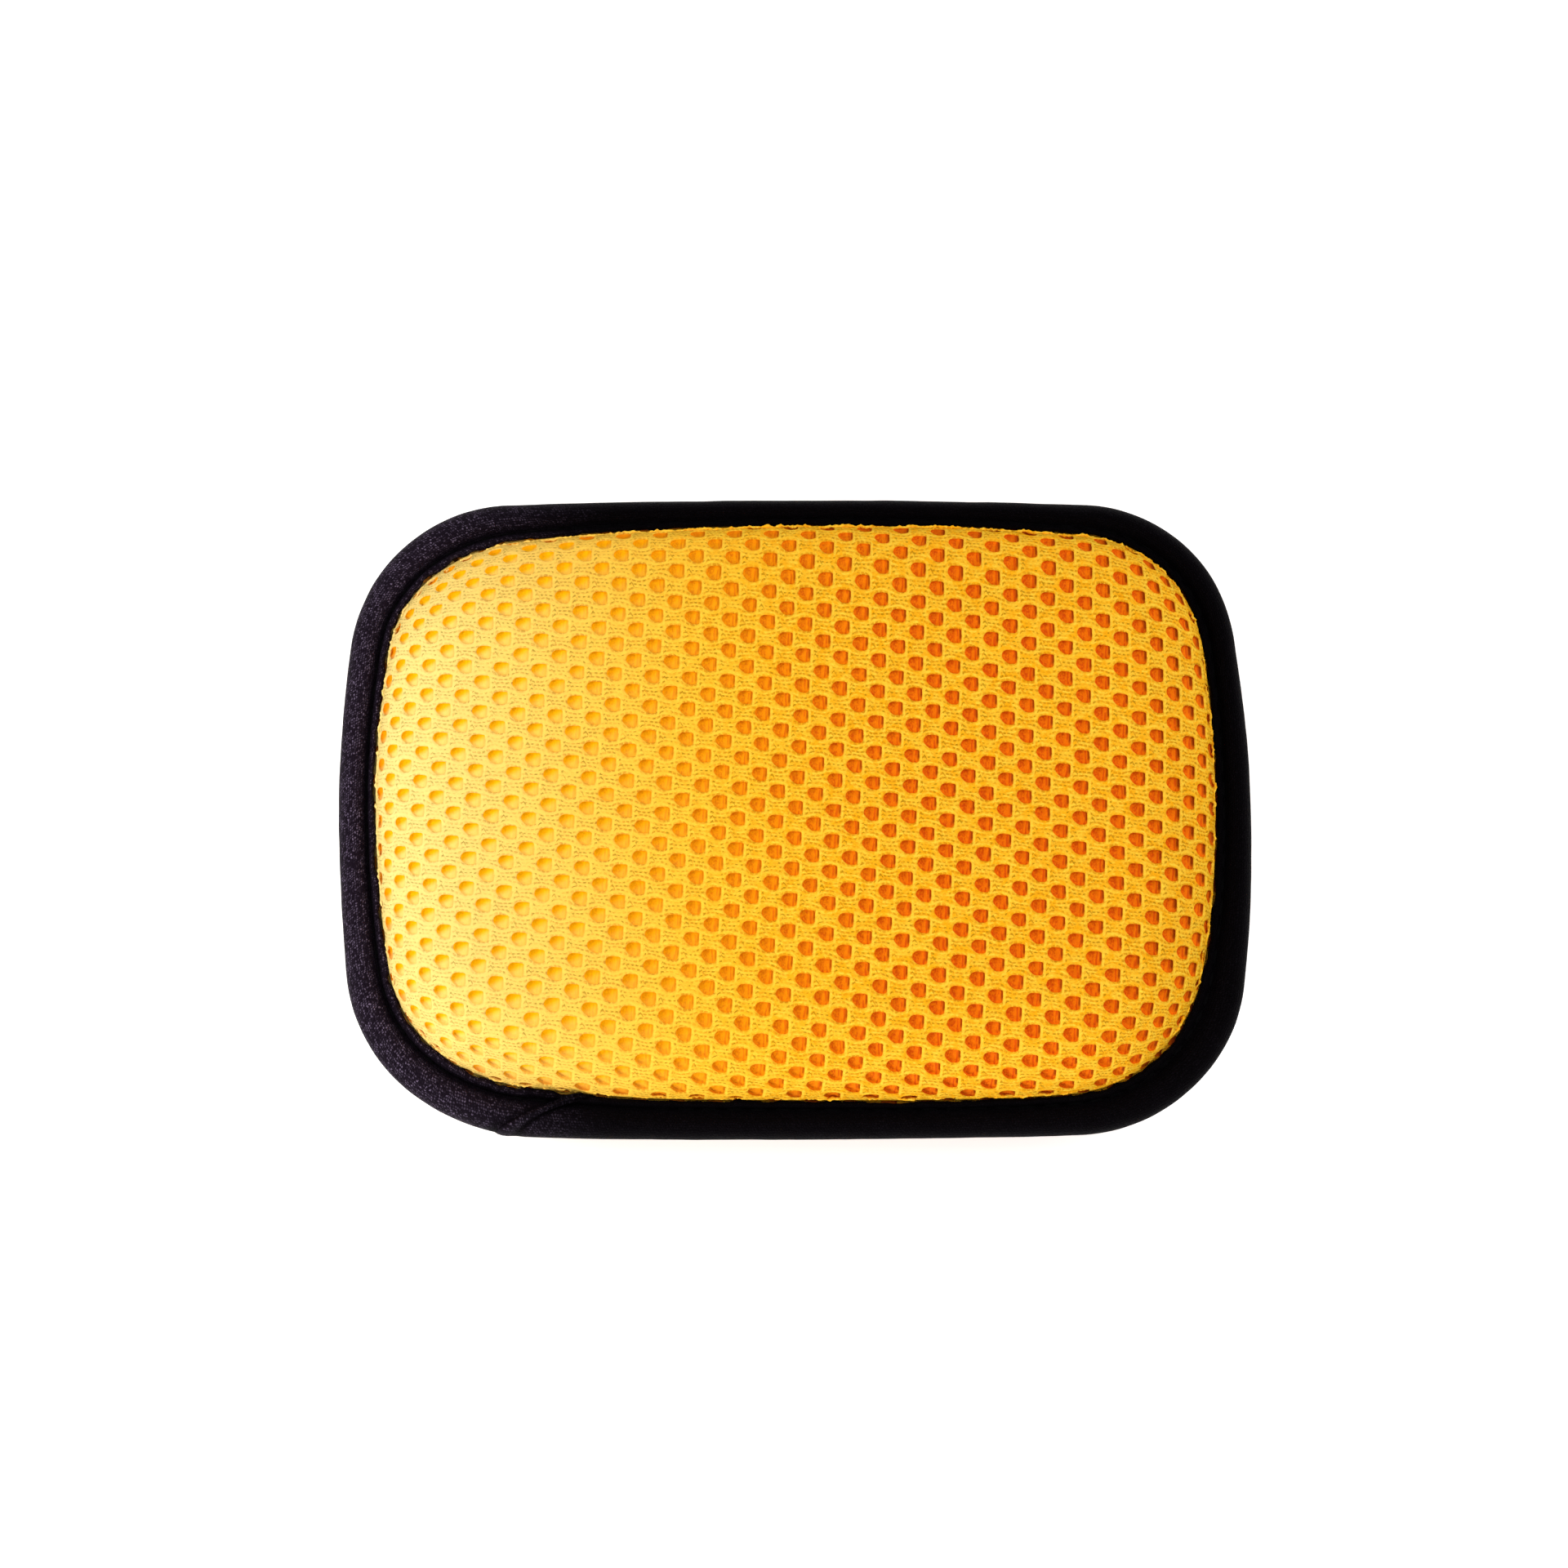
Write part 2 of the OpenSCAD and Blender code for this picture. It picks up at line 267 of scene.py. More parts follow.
def steepPaintedLightAtLeft(tree):
    # a steeper fade of that painted light, for the yellow yarn
    share = paintedLightAtLeft(tree, 0.006, -0.084)
    return calc(tree, "MULTIPLY", share, share)


def newMaterial(name):
    material = bpy.data.materials.new(name)
    material.use_nodes = True
    return material, material.node_tree, material.node_tree.nodes["Principled BSDF"]


# Yellow spacer mesh: the attribute "knit" counts the rows of holes and gives the height in a hole,
# and "edge" gives the distance along the outline and in from the tape
knitLook = {
    "yarn": (1.0, 0.42, 0.001),
    "paleYarn": (1.0, 0.62, 0.040),
    "rimYarn": (1.0, 0.60, 0.040),
    # the halfLit and leftLit colours are painted light, paler toward the left end
    "halfLitYarn": (1.0, 0.57, 0.030),
    "leftLitYarn": (1.0, 0.75, 0.27),
    "groove": (0.86, 0.31, 0.001),
    "leftLitGroove": (0.86, 0.69, 0.20),
    "pinhole": (0.58, 0.30, 0.001),
    "leftLitPinhole": (0.64, 0.58, 0.15),
    "strandsPerRow": 6.0,
    "strandSwing": 0.50,
    "pinsPerHole": 8.0,
    "edgeStrand": 0.7,
    "bump": 0.19,
}
pileLook = {
    "lit": (0.98, 0.22, 0.001),
    "shaded": (0.66, 0.075, 0.001),
    # painted light toward the left end; the edge colours and the slot are painted shade
    "paintedLeftLight": (1.0, 0.54, 0.002),
    "leftLitCorner": (1.0, 0.80, 0.28),
    "edge": (0.55, 0.09, 0.001),
    "leftLitEdgeShade": (0.88, 0.24, 0.002),
    "slot": (0.36, 0.055, 0.001),
    "bump": 0.12,
}


def holePlace(tree, row, column):
    # place within the nearest hole's cell, both ways from its middle
    du = calc(tree, "SUBTRACT", row, calc(tree, "ROUND", row))
    dv = calc(tree, "SUBTRACT", column, calc(tree, "ROUND", column))
    between = calc(tree, "GREATER_THAN",
                   calc(tree, "ADD", calc(tree, "ABSOLUTE", du), calc(tree, "ABSOLUTE", dv)), 0.5)
    half = calc(tree, "MULTIPLY", between, 0.5)
    return (calc(tree, "SUBTRACT", du, calc(tree, "MULTIPLY", half, calc(tree, "SIGN", du))),
            calc(tree, "SUBTRACT", dv, calc(tree, "MULTIPLY", half, calc(tree, "SIGN", dv))))


def yellowKnit():
    look = knitLook
    material, tree, shader = newMaterial("yellow_knit")
    vector, row, column, height = pieceAttribute(tree, "knit")
    _, along, reach, _ = pieceAttribute(tree, "edge")
    holeU, holeV = holePlace(tree, row, column)
    turn = 2 * math.pi
    # strands run along the rows and part round each hole
    swing = calc(tree, "MULTIPLY",
                 calc(tree, "COSINE", calc(tree, "MULTIPLY", row, turn)),
                 calc(tree, "SINE", calc(tree, "MULTIPLY", column, turn)))
    flow = calc(tree, "SUBTRACT", column, calc(tree, "MULTIPLY", swing, look["strandSwing"] / turn))
    wander = calc(tree, "SUBTRACT", grain(tree, vector, 3.5, 4.0, 0.6), 0.5)
    flow = calc(tree, "ADD", flow, calc(tree, "MULTIPLY", wander, 0.16))
    strand = calc(tree, "COSINE", calc(tree, "MULTIPLY", flow, turn * look["strandsPerRow"]))
    # the strands are broken into stitches, shifted by half from strand to strand
    strandCount = calc(tree, "ROUND", calc(tree, "MULTIPLY", flow, look["strandsPerRow"]))
    shift = calc(tree, "MULTIPLY", calc(tree, "SUBTRACT", grain(tree, vector, 4.0, 1.0), 0.5), 0.9)
    stitchPlace = calc(tree, "ADD", calc(tree, "MULTIPLY", row, look["pinsPerHole"]),
                       calc(tree, "ADD", calc(tree, "MULTIPLY", strandCount, 0.37), shift))
    beat = calc(tree, "ABSOLUTE", calc(tree, "COSINE", calc(tree, "MULTIPLY", stitchPlace, math.pi)))
    groove = calc(tree, "MULTIPLY", ramp(tree, strand, 0.1, 0.95), ramp(tree, beat, 0.1, 0.9))
    patch = ramp(tree, grain(tree, vector, 2.2, 2.0), 0.35, 0.65)
    # a smooth band stands beside the straight side of each hole, then slanting chain stitches
    band = calc(tree, "MULTIPLY", ramp(tree, holeU, 0.195, 0.215),
                calc(tree, "SUBTRACT", 1.0, ramp(tree, holeU, 0.255, 0.285)))
    beside = calc(tree, "MULTIPLY", ramp(tree, holeU, 0.26, 0.30),
                  calc(tree, "SUBTRACT", 1.0, ramp(tree, holeU, 0.37, 0.43)))
    slant = calc(tree, "MULTIPLY", calc(tree, "ABSOLUTE", calc(tree, "SUBTRACT", holeU, 0.33)), 9.0)
    chain = calc(tree, "SINE", calc(tree, "MULTIPLY", calc(tree, "ADD", calc(
        tree, "ADD", calc(tree, "MULTIPLY", column, 6.0), calc(tree, "MULTIPLY", wander, 0.9)), slant), turn))
    chainGroove = calc(tree, "MULTIPLY", ramp(tree, chain, 0.45, 0.98), beside)
    plain = calc(tree, "SUBTRACT", 1.0, calc(tree, "MAXIMUM", band, calc(tree, "MULTIPLY", beside, 0.7)))
    dark = calc(tree, "MAXIMUM", calc(tree, "MULTIPLY", groove, plain), chainGroove)
    dark = calc(tree, "MULTIPLY", dark, calc(tree, "ADD", 0.2, calc(tree, "MULTIPLY", patch, 0.65)))
    # fine pinholes in the grooves between the holes of a row
    dots = calc(tree, "MULTIPLY", ramp(tree, beat, 0.62, 0.95), ramp(tree, strand, 0.40, 0.90))
    zone = calc(tree, "MULTIPLY", ramp(tree, calc(tree, "ABSOLUTE", holeU), 0.24, 0.31),
                calc(tree, "SUBTRACT", 1.0, ramp(tree, calc(tree, "ABSOLUTE", holeV), 0.15, 0.26)))
    zone = calc(tree, "ADD", 0.28, calc(tree, "MULTIPLY", zone, 0.72))
    pins = calc(tree, "MULTIPLY", calc(tree, "MULTIPLY", dots, zone),
                ramp(tree, grain(tree, vector, 9.0, 1.0), 0.30, 0.55))
    pins = calc(tree, "MAXIMUM", pins, calc(tree, "MULTIPLY", calc(tree, "MULTIPLY", ramp(tree, chain, 0.75, 0.99), beside),
                                            ramp(tree, grain(tree, vector, 8.0, 1.0), 0.40, 0.60)))
    # strands laid along the bound edge
    lines = calc(tree, "COSINE", calc(tree, "MULTIPLY", calc(tree, "ADD", reach, calc(
        tree, "MULTIPLY", grain(tree, vector, 3.0, 2.0), 0.6)), turn / look["edgeStrand"]))
    edging = calc(tree, "MULTIPLY", ramp(tree, lines, 0.1, 0.9),
                  calc(tree, "SUBTRACT", 1.0, ramp(tree, reach, 0.9, 2.2)))
    # colours, drawn paler toward the left end by painted light
    paintedLeftLight = steepPaintedLightAtLeft(tree)
    fibre = grain(tree, combine(tree, calc(tree, "MULTIPLY", row, 14.0), calc(tree, "MULTIPLY", flow, 30.0), 0.0),
                  1.0, 4.0, 0.65)
    crest = calc(tree, "MULTIPLY", ramp(tree, strand, 0.2, -0.9), ramp(tree, grain(tree, vector, 6.0, 2.0), 0.42, 0.62))
    fuzz = ramp(tree, calc(tree, "ADD", calc(tree, "MULTIPLY", grain(tree, vector, 3.0, 3.0), 0.45),
                           calc(tree, "MULTIPLY", fibre, 0.55)), 0.40, 0.60)
    yarn = blendColour(tree, calc(tree, "MAXIMUM", calc(tree, "MULTIPLY", fuzz, 0.75), crest),
                       look["yarn"], look["paleYarn"])
    yarn = blendColour(tree, calc(tree, "MULTIPLY", band, 0.8), yarn, look["rimYarn"])
    grit = calc(tree, "MULTIPLY", ramp(tree, grain(tree, vector, 19.0, 2.0, 0.6), 0.52, 0.70), 0.55)
    yarn = blendColour(tree, grit, yarn, look["groove"])
    yarn = blendColour(tree, calc(tree, "MULTIPLY", paintedLightAtLeft(tree, 0.012, -0.045), 0.8), yarn, look["halfLitYarn"])
    yarn = blendColour(tree, paintedLeftLight, yarn, look["leftLitYarn"])
    grooveColour = blendColour(tree, paintedLeftLight, look["groove"], look["leftLitGroove"])
    knit = blendColour(tree, calc(tree, "MAXIMUM", dark, edging), yarn, grooveColour)
    knit = blendColour(tree, calc(tree, "MULTIPLY", pins, 0.85), knit,
                       blendColour(tree, paintedLeftLight, look["pinhole"], look["leftLitPinhole"]))
    tree.links.new(knit, shader.inputs["Base Color"])
    shader.inputs["Roughness"].default_value = 0.6
    shader.inputs["Specular IOR Level"].default_value = 0.08
    relief = calc(tree, "SUBTRACT", 1.0, calc(tree, "MAXIMUM", calc(tree, "MAXIMUM", dark, edging), pins))
    relief = calc(tree, "ADD", relief, calc(tree, "MULTIPLY", fibre, 0.7))
    addBump(tree, shader, relief, look["bump"])
    return material


def orangePile():
    # upright yarn in the holes in lit and shaded colours: painted shade on the left of each hole and a painted shadow
    # as a dark slot under the straight rim
    look = pileLook
    material, tree, shader = newMaterial("orange_pile")
    vector, row, column, height = pieceAttribute(tree, "knit")
    _, along, reach, _ = pieceAttribute(tree, "edge")
    holeU, holeV = holePlace(tree, row, column)
    down = calc(tree, "MULTIPLY", height, -1.0)
    streak = grain(tree, combine(tree, calc(tree, "MULTIPLY", row, 24.0), calc(tree, "MULTIPLY", column, 13.0),
                                 calc(tree, "MULTIPLY", height, 6.0)), 1.0, 4.0, 0.65)
    # painted shade over the left part of each hole, whose wall keeps the left lamp off it
    paintedShadeLeft = calc(tree, "SUBTRACT", 1.0, ramp(tree, calc(tree, "ADD", holeU, calc(
        tree, "MULTIPLY", calc(tree, "SUBTRACT", grain(tree, vector, 1.7, 1.0), 0.5), 0.12)), -0.02, 0.03))
    # painted shade: a darker gap between two yarns stands right of the middle
    gapPlace = calc(tree, "ADD", 0.035, calc(tree, "MULTIPLY", grain(tree, vector, 1.3, 1.0), 0.14))
    gap = calc(tree, "ABSOLUTE", calc(tree, "SUBTRACT", holeU, gapPlace))
    gap = calc(tree, "SUBTRACT", 1.0, ramp(tree, gap, 0.012, 0.042))
    gap = calc(tree, "MULTIPLY", gap, ramp(tree, grain(tree, vector, 3.3, 3.0), 0.30, 0.52))
    tuft = ramp(tree, grain(tree, vector, 7.5, 2.0), 0.42, 0.60)
    yarns = calc(tree, "ADD", 0.15, calc(tree, "MULTIPLY", ramp(tree, streak, 0.36, 0.62), 0.8))
    yarns = calc(tree, "ADD", yarns, calc(tree, "MULTIPLY", tuft, 0.35))
    yarns = calc(tree, "MULTIPLY", yarns, calc(tree, "ADD", 0.28, calc(tree, "MULTIPLY", paintedShadeLeft, 0.50)))
    # share of the shaded colour: yarn streaks with the painted shade
    shadedShare = calc(tree, "MAXIMUM", yarns, calc(tree, "MULTIPLY", gap, 0.85))
    pile = blendColour(tree, shadedShare, look["lit"], look["shaded"])
    # painted light toward the left end, where the holes are drawn brighter
    paintedLeftLight = paintedLightAtLeft(tree, 0.030, -0.050)
    deep = calc(tree, "SUBTRACT", 1.0, calc(tree, "MULTIPLY", shadedShare, calc(tree, "SUBTRACT", 0.75, calc(
        tree, "MULTIPLY", paintedLeftLight, 0.55))))
    pile = blendColour(tree, calc(tree, "MULTIPLY", paintedLeftLight, deep), pile, look["paintedLeftLight"])
    # painted light on the lower right of each hole toward the left end
    litCorner = ramp(tree, calc(tree, "SUBTRACT", calc(tree, "MULTIPLY", holeU, 0.7), holeV), -0.12, 0.13)
    pile = blendColour(tree, calc(tree, "MULTIPLY", steepPaintedLightAtLeft(tree), litCorner), pile, look["leftLitCorner"])
    # painted shade in the holes near the bound edge, seen at a slant
    edgeShade = calc(tree, "SUBTRACT", 1.0, ramp(tree, reach, 1.5, 5.5))
    edgeShadeColour = blendColour(tree, paintedLeftLight, look["edge"], look["leftLitEdgeShade"])
    pile = blendColour(tree, calc(tree, "MULTIPLY", edgeShade, 0.8), pile, edgeShadeColour)
    # painted shadow: the dark slot under the straight rim
    slot = calc(tree, "MULTIPLY",
                calc(tree, "MULTIPLY", ramp(tree, holeU, 0.10, 0.17), ramp(tree, holeV, -0.16, 0.0)),
                calc(tree, "MULTIPLY", ramp(tree, down, 0.14, 0.26),
                     calc(tree, "SUBTRACT", 1.0, ramp(tree, down, 0.42, 0.68))))
    slot = calc(tree, "MULTIPLY", slot, calc(tree, "SUBTRACT", 1.0, calc(tree, "MULTIPLY", paintedLeftLight, 0.9)))
    tree.links.new(blendColour(tree, slot, pile, look["slot"]), shader.inputs["Base Color"])
    shader.inputs["Roughness"].default_value = 0.6
    shader.inputs["Specular IOR Level"].default_value = 0.04
    addBump(tree, shader, streak, look["bump"])
    return material


foamLook = {"cell": (0.95, 0.22, 0.003), "pore": (0.50, 0.07, 0.001), "cellSize": 0.9, "bump": 0.3}


def orangeFoam():
    look = foamLook
    material, tree, shader = newMaterial("orange_foam")
    place = tree.nodes.new("ShaderNodeTexCoord").outputs["Object"]
    cells = tree.nodes.new("ShaderNodeTexVoronoi")
    cells.feature = "DISTANCE_TO_EDGE"
    cells.inputs["Scale"].default_value = 1 / (look["cellSize"] * mm)
    tree.links.new(place, cells.inputs["Vector"])
    wall = ramp(tree, cells.outputs["Distance"], 0.05, 0.35)
    tone = grain(tree, place, 700.0, 3.0)
    pore = calc(tree, "MULTIPLY", wall, ramp(tree, tone, 0.4, 0.65))
    tree.links.new(blendColour(tree, pore, look["cell"], look["pore"]), shader.inputs["Base Color"])
    shader.inputs["Roughness"].default_value = 0.75
    shader.inputs["Specular IOR Level"].default_value = 0.3
    addBump(tree, shader, calc(tree, "SUBTRACT", 1.0, wall), look["bump"])
    return material


# Black knitted tape: the attribute "strip" is the place on the flat strip in millimetres, and the
# painted shade in its folds and creases
tapeLook = {
    "yarn": (0.0008, 0.0006, 0.0008),
    "speck": (0.0032, 0.0025, 0.0036),
    # leftLit yarn and glint specks: painted light and painted glints toward the left end
    "leftLitYarn": (0.009, 0.0055, 0.010),
    "leftGlintSpeck": (0.135, 0.100, 0.155),
    "stitchAlong": 0.46,
    "stitchAcross": 0.38,
    "bump": 0.12,
}


def blackTape(name="black_knit_tape"):
    look = tapeLook
    material, tree, shader = newMaterial(name)
    vector, along, across, creaseShade = pieceAttribute(tree, "strip")
    drift = calc(tree, "MULTIPLY", calc(tree, "SUBTRACT", grain(tree, vector, 0.9, 3.0, 0.6), 0.5), 2.2)
    x = calc(tree, "ADD", calc(tree, "DIVIDE", along, look["stitchAlong"]), drift)
    y = calc(tree, "ADD", calc(tree, "DIVIDE", across, look["stitchAcross"]), drift)
    lean = calc(tree, "ADD", x, calc(tree, "MULTIPLY", y, 0.5))
    hump = calc(tree, "MULTIPLY",
                calc(tree, "ABSOLUTE", calc(tree, "SINE", calc(tree, "MULTIPLY", lean, math.pi))),
                calc(tree, "ABSOLUTE", calc(tree, "SINE", calc(tree, "MULTIPLY", y, math.pi))))
    chance = tree.nodes.new("ShaderNodeTexWhiteNoise")
    chance.noise_dimensions = "3D"
    tree.links.new(combine(tree, calc(tree, "FLOOR", lean), calc(tree, "FLOOR", y), 0.0), chance.inputs["Vector"])
    lucky = ramp(tree, chance.outputs["Value"], 0.10, 1.0)
    patch = ramp(tree, grain(tree, vector, 0.45, 2.0), 0.35, 0.7)
    speck = calc(tree, "MULTIPLY", calc(tree, "MULTIPLY", ramp(tree, hump, 0.25, 0.85), lucky),
                 calc(tree, "ADD", 0.55, calc(tree, "MULTIPLY", patch, 0.45)))
    # painted shade in folds and creases takes the lighter specks out
    speck = calc(tree, "MULTIPLY", speck, calc(tree, "SUBTRACT", 1.0, creaseShade))
    # painted light toward the left end, less in the creases; the specks there are painted glints
    paintedLeftLight = calc(tree, "MULTIPLY", paintedLightAtLeft(tree, -0.029, -0.064),
                 calc(tree, "SUBTRACT", 1.0, calc(tree, "MULTIPLY", creaseShade, 0.85)))
    tree.links.new(blendColour(tree, speck, blendColour(tree, paintedLeftLight, look["yarn"], look["leftLitYarn"]),
                               blendColour(tree, paintedLeftLight, look["speck"], look["leftGlintSpeck"])),
                   shader.inputs["Base Color"])
    shader.inputs["Roughness"].default_value = 0.5
    shader.inputs["Specular IOR Level"].default_value = 0.02
    shader.inputs["Specular Tint"].default_value = (1.0, 0.75, 1.0, 1.0)
    shader.inputs["Sheen Weight"].default_value = 0.004
    shader.inputs["Sheen Roughness"].default_value = 0.35
    shader.inputs["Sheen Tint"].default_value = (0.85, 0.65, 1.0, 1.0)
    addBump(tree, shader, calc(tree, "ADD", hump, calc(tree, "MULTIPLY", lucky, 0.5)), look["bump"])
    return material


def blackThread():
    material, tree, shader = newMaterial("black_thread")
    vector, along, across, _ = pieceAttribute(tree, "strip")
    twist = calc(tree, "SINE", calc(tree, "ADD", calc(tree, "MULTIPLY", along, 14.0),
                                    calc(tree, "MULTIPLY", across, 9.0)))
    tree.links.new(blendColour(tree, ramp(tree, twist, -0.4, 0.8), (0.0006, 0.0005, 0.0006),
                               (0.003, 0.0025, 0.0035)), shader.inputs["Base Color"])
    shader.inputs["Roughness"].default_value = 0.6
    shader.inputs["Specular IOR Level"].default_value = 0.04
    addBump(tree, shader, twist, 0.05)
    return material


yellowMaterial, pileMaterial, foamMaterial = yellowKnit(), orangePile(), orangeFoam()
tapeMaterial, threadMaterial = blackTape(), blackThread()
print("materials made")

# Shape of a cover over the foam, in from the outline and up from the seam
pillow = {
    "foot": 5.95,           # where the cover comes out from under the tape, at the tape's plain width
    "shoulder": 16.0,
    "base": 1.15,
    "frontTop": 12.75,
    "backTop": 13.5,
    "crown": 1.5,
}


def shoulderCurve(top):
    # depth, height, distance along the cloth and slope, from the foot to the crest
    angle = np.linspace(0, math.pi / 2, 200)
    depth = pillow["foot"] + pillow["shoulder"] * (1 - np.cos(angle))
    height = pillow["base"] + (top - pillow["base"]) * np.sin(angle)
    along = np.concatenate([[0], np.cumsum(np.hypot(np.diff(depth), np.diff(height)))])
    slope = np.gradient(height, depth)
    slope[0] = slope[1]
    return depth, height, along, slope


def crownHeight(points, crown):
    crest = pillow["foot"] + pillow["shoulder"]
    share = (points[:, 0] / (halfLength - crest)) ** 2 + (points[:, 1] / (halfWidth - crest)) ** 2
    return crown * (1 - np.clip(share, 0, 1)) ** 2


# The foam pad starts a little small and is blown up by a cloth simulation
pad = {
    "name": "foam_pad",
    "foot": 9.0,
    "edge": 0.8,
    "top": 9.1,
    "bottom": 9.3,
    "voxel": 4.0,
    "pressure": 4.0,
    "frames": 20,
    "cap": 0.9,
    "cornerSteps": 12,
    "sideSteps": 24,
}


def padShape():
    # the section of the edge, spun round each arc of the outline, and two faces
    bm = bmesh.new()
    crest = pillow["foot"] + pillow["shoulder"]
    start, out = stationAt(0)
    section = []
    for height, first in ((pad["top"], True), (-pad["bottom"], False)):
        for k in range(8):
            angle = math.pi / 2 * (7 - k if first else k) / 7
            depth = pad["foot"] + (crest - pad["foot"]) * (1 - math.cos(angle))
            edge = pad["edge"] if first else -pad["edge"]
            z = edge + (height - edge) * math.sin(angle)
            place = start - out * depth
            section.append(bm.verts.new((place.x, place.y, seamZ + z)))
    edges = [bm.edges.new(pair) for pair in zip(section, section[1:])]
    last = section + edges
    for order, arc in enumerate(arcs):
        steps = pad["cornerSteps"] if order % 2 else pad["sideSteps"]
        made = bmesh.ops.spin(bm, geom=last, cent=(*arc["centre"], 0), axis=(0, 0, 1),
                              angle=arc["span"], steps=steps, use_merge=False, use_duplicate=False)
        last = made["geom_last"]
    bmesh.ops.remove_doubles(bm, verts=bm.verts, dist=0.01)
    bmesh.ops.holes_fill(bm, edges=bm.edges, sides=0)
    bmesh.ops.recalc_face_normals(bm, faces=bm.faces)
    return bm


def evaluatedMesh(piece):
    graph = bpy.context.evaluated_depsgraph_get()
    return bpy.data.meshes.new_from_object(piece.evaluated_get(graph))


def remeshPad(piece):
    remesh = piece.modifiers.new("remesh", "REMESH")
    remesh.mode = "VOXEL"
    remesh.voxel_size = pad["voxel"] * mm
    smooth = piece.modifiers.new("smooth", "SMOOTH")
    smooth.factor, smooth.iterations = 0.5, 3
    piece.data = evaluatedMesh(piece)
    piece.modifiers.clear()


def blowUp(piece):
    # cloth with pressure; the pad stays held at its thin edge
    before = meshCoordinates(piece.data)
    depth, _, _ = nearestOutline(before[:, :2] / mm)
    held = piece.vertex_groups.new(name="held")
    held.add([int(k) for k in np.nonzero(depth < pad["foot"] + 2.5)[0]], 1.0, "REPLACE")
    cloth = piece.modifiers.new("cloth", "CLOTH")
    settings = cloth.settings
    settings.quality = 6
    settings.mass = 0.2
    settings.tension_stiffness = settings.compression_stiffness = 12
    settings.bending_stiffness = 2
    settings.use_pressure = True
    settings.uniform_pressure_force = pad["pressure"]
    settings.effector_weights.gravity = 0
    settings.vertex_group_mass = "held"
    cloth.collision_settings.use_collision = False
    for step in range(1, pad["frames"] + 1):
        scene.frame_set(step)
    after = meshCoordinates(evaluatedMesh(piece))
    scene.frame_set(1)
    piece.modifiers.clear()
    moved = after - before
    length = np.maximum(np.linalg.norm(moved, axis=1), 1e-9)
    moved *= np.minimum(1, pad["cap"] * mm / length)[:, None]
    piece.data.vertices.foreach_set("co", (before + moved).ravel())
    piece.data.update()


def heightField(piece):
    tree = BVHTree.FromObject(piece, bpy.context.evaluated_depsgraph_get())

    def look(x, y, up):
        start = Vector((x * mm, y * mm, 0.1 if up else -0.1))
        hit = tree.ray_cast(start, Vector((0, 0, -1 if up else 1)))[0]
        return hit.z / mm if hit else None
    return look


def makePad():
    piece = finishPiece(pad["name"], padShape(), foamMaterial)
    remeshPad(piece)
    start = heightField(piece)
    blowUp(piece)
    bpy.context.view_layer.update()
    end = heightField(piece)
    piece.data.shade_smooth()
    return piece, start, end


def padRise(start, end, up):
    # how far the blown pad stands over the plain one, on a coarse grid, to lift the covers by
    step, reachX, reachY = 3.0, halfLength, halfWidth
    xs, ys = np.arange(-reachX, reachX + step, step), np.arange(-reachY, reachY + step, step)
    grid = np.zeros((len(xs), len(ys)))
    for i, x in enumerate(xs):
        for j, y in enumerate(ys):
            low, high = start(x, y, up), end(x, y, up)
            if low is not None and high is not None:
                grid[i, j] = high - low
    for _ in range(3):
        padded = np.pad(grid, 1, mode="edge")
        grid = (padded[:-2, 1:-1] + padded[2:, 1:-1] + padded[1:-1, :-2] + padded[1:-1, 2:] + 2 * grid) / 6

    def rise(points):
        u = np.clip((points[:, 0] + reachX) / step, 0, len(xs) - 1.001)
        v = np.clip((points[:, 1] + reachY) / step, 0, len(ys) - 1.001)
        i, j = u.astype(int), v.astype(int)
        a, b = u - i, v - j
        return (grid[i, j] * (1 - a) * (1 - b) + grid[i + 1, j] * a * (1 - b)
                + grid[i, j + 1] * (1 - a) * b + grid[i + 1, j + 1] * a * b)
    return rise


foamPad, padBefore, padAfter = makePad()
print("foam pad made")

# The spacer mesh: one hole with its walls, repeated on a leaning lattice
spacerMesh = {
    "rowStep": (6.184, -0.471),      # from hole to hole along a row
    "columnStep": (0.299, 4.991),    # from hole to hole up a column
    "origin": (-0.05, 1.10),
    "holeHalf": (1.25, 1.10),
    "cornerPowers": (7.0, 2.4, 1.5, 4.2),
    "segments": 16,
    "depth": 0.72,                   # down to the pile between the two knits
    "floorShare": (0.62, 0.86),      # size of that floor against the hole
    "floorShift": -0.36,
    "hiddenWidth": 2.0,              # how far the mesh goes on under the tape
    "jitter": 0.08,
}
# Slow bend of the rows and columns, where the mesh was pulled over the pad
meshPull = {
    "scale": (60.0, 40.0),
    "x": {"xy": -1.05, "yy": -0.38, "xxy": -0.40},
    "y": {"xx": -0.43, "xy": 0.74, "yy": -0.33, "xxx": -0.58, "xxy": -1.04, "xyy": 0.33, "yyy": 0.9},
}


def holeCorner(angle, half, powers):
    quadrant = int((angle % (2 * math.pi)) // (math.pi / 2))
    power = 2 / powers[quadrant]
    c, s = math.cos(angle), math.sin(angle)
    return Vector((math.copysign(abs(c) ** power, c) * half[0], math.copysign(abs(s) ** power, s) * half[1], 0))


